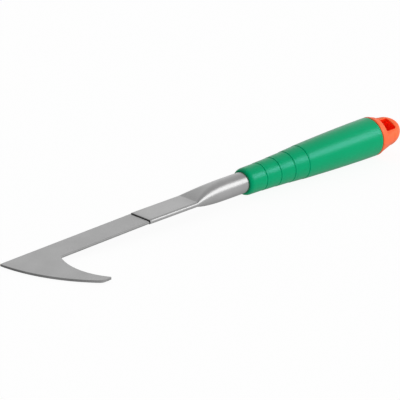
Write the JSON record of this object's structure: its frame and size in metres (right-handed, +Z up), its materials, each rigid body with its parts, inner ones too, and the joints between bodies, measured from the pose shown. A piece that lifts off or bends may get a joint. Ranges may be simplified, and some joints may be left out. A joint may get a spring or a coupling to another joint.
{
  "type": "hand patio knife",
  "caption": "Hand weeding knife for paving joints: hooked sheet-steel blade in a flattened steel tube, moulded grip, end cap with a hanging hole.",
  "frame": {"origin": "on the ground plane under the middle of the tool's bounding box, the tool lying at rest", "axes": "+X along the tool from blade tip towards the end cap, +Z up; the hook reaches towards -Y"},
  "size_m": [0.3834, 0.0766, 0.0311],
  "materials": {
    "blade_steel": "bead-blasted and lacquered, satin grey",
    "shank_steel": "zinc plated, satin",
    "grip_plastic": "fine moulded texture, semi-matt green",
    "cap_plastic": "smooth moulded, semi-matt orange"
  },
  "bodies": {
    "root": {"blade": "blade_steel", "shank_tube": "shank_steel", "grip": "grip_plastic", "end_cap": "cap_plastic"}
  },
  "joints": []
}
